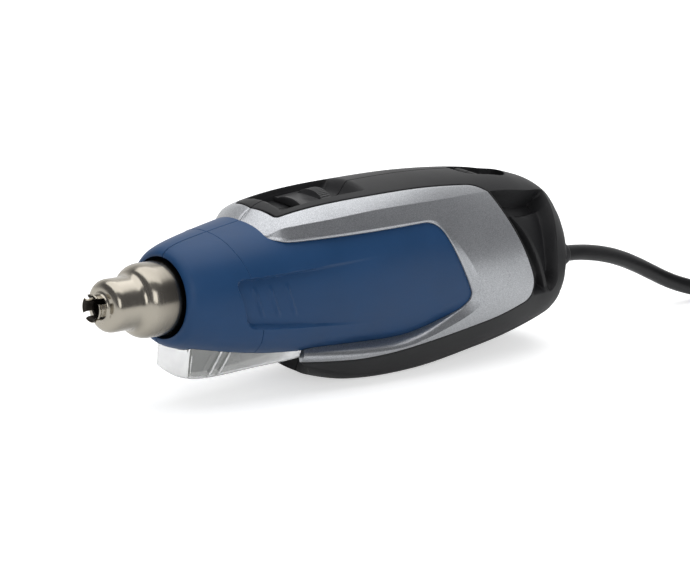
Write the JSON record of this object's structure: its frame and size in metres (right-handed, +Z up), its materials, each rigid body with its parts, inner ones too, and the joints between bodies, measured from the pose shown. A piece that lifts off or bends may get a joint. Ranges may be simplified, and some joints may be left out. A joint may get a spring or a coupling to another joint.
{
  "type": "hot air tool",
  "caption": "Hand-held stick hot air tool with stepped steel outlet, blue shell, silver trim frame, black grip, thumb slide switch, under-nose work light and mains lead.",
  "frame": {"origin": "centre of the bounding box in plan, on the table under the keel foot", "axes": "+Z up, -X along the air axis towards the outlet, -Y towards the left shell"},
  "size_m": [0.4296, 0.0921, 0.0742],
  "materials": {
    "body_blue": "fine satin grain",
    "trim_silver": "satin silver lacquer on plastic",
    "grip_black": "matt soft touch",
    "dark_plastic": "matt",
    "clear_plastic": "clear polished",
    "cord_black": "smooth matt",
    "outlet_steel": "drawn and polished",
    "screw_steel": "plain",
    "heater_ceramic": "unglazed",
    "mica": "layered",
    "fan_grey": "moulded",
    "board_green": "lacquered laminate",
    "lamp_white": "clear dome over phosphor"
  },
  "bodies": {
    "tool": {"left_body_shell": "body_blue", "right_body_shell": "body_blue", "left_trim_frame": "trim_silver", "right_trim_frame": "trim_silver", "left_grip_shell": "grip_black", "right_grip_shell": "grip_black", "outlet_nozzle": "outlet_steel", "outlet_collar": "heater_ceramic", "mica_sleeve": "mica", "heater_core": "heater_ceramic", "fan_shroud": "dark_plastic", "motor_bulkhead": "dark_plastic", "motor_can": "screw_steel", "motor_cap": "dark_plastic", "circuit_board": "board_green", "switch_body": "dark_plastic", "rectifier": "dark_plastic", "work_light_lens": "clear_plastic", "work_lamp": "lamp_white", "housing_screw_1": "screw_steel", "housing_screw_2": "screw_steel", "housing_screw_3": "screw_steel", "clamp_screw_1": "screw_steel", "clamp_screw_2": "screw_steel", "cord_clamp": "dark_plastic", "strain_relief": "cord_black", "supply_cord": "cord_black", "cord_coil": "cord_black", "cord_end": "cord_black", "coil_tie": "dark_plastic", "plug_body": "cord_black", "plug_pin_1": "screw_steel", "plug_pin_2": "screw_steel"},
    "rotor": {"fan_rotor": "fan_grey"},
    "slider": {"switch_slider": "dark_plastic"}
  },
  "joints": [
    {"name": "rotor_spin", "type": "hinge", "parent": "tool", "child": "rotor", "pos_m": [0.0051, 0, 0.0397], "axis": [1, 0, 0], "continuous": true},
    {"name": "switch_slide", "type": "slide", "parent": "tool", "child": "slider", "axis": [0.9966, 0, 0.0825], "range_m": [-0.005, 0.005]}
  ]
}
